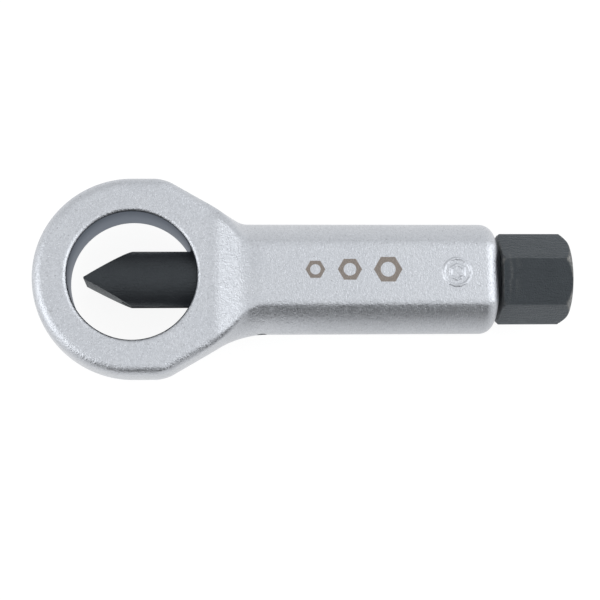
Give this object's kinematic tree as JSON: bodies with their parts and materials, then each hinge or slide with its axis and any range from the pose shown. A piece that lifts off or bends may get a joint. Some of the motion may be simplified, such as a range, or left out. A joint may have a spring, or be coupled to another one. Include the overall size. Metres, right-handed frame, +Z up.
{
  "type": "nut splitter",
  "caption": "Hand nut splitter: a plated steel ring on a round shank with flats, a wedge chisel that slides into the ring, and a hexagon-headed pressure screw that drives it.",
  "frame": {"origin": "under the middle of the tool's length and width, on the surface that the shank's lower flat rests on", "axes": "+X along the pressure screw from the ring towards the hexagon head, +Z up through the ring's face, +Y across the ring"},
  "size_m": [0.1138, 0.0422, 0.0203],
  "materials": {
    "plated_steel": "forged, blasted and satin plated",
    "chisel_black": "black oxide, satin, with paler ground bevels",
    "screw_black": "black oxide, worn bright on the edges",
    "pin_steel": "plain ground steel",
    "ball_steel": "polished bearing steel"
  },
  "bodies": {
    "frame": {"body": "plated_steel", "guide_pin": "pin_steel"},
    "chisel": {"chisel": "chisel_black", "thrust_ball": "ball_steel"},
    "screw": {"pressure_screw": "screw_black"}
  },
  "joints": [
    {"name": "chisel_feed", "type": "slide", "parent": "frame", "child": "chisel", "axis": [-1, 0, 0], "range_m": [-0.022, 0.00083]},
    {"name": "screw_turn", "type": "hinge", "parent": "chisel", "child": "screw", "pos_m": [0.042, 0, 0.01], "axis": [-1, 0, 0], "range_deg": [-5282, 201]}
  ],
  "couplings": [
    {"joint": "screw_turn", "follows": "chisel_feed", "rad_per_m": 4188.8}
  ]
}
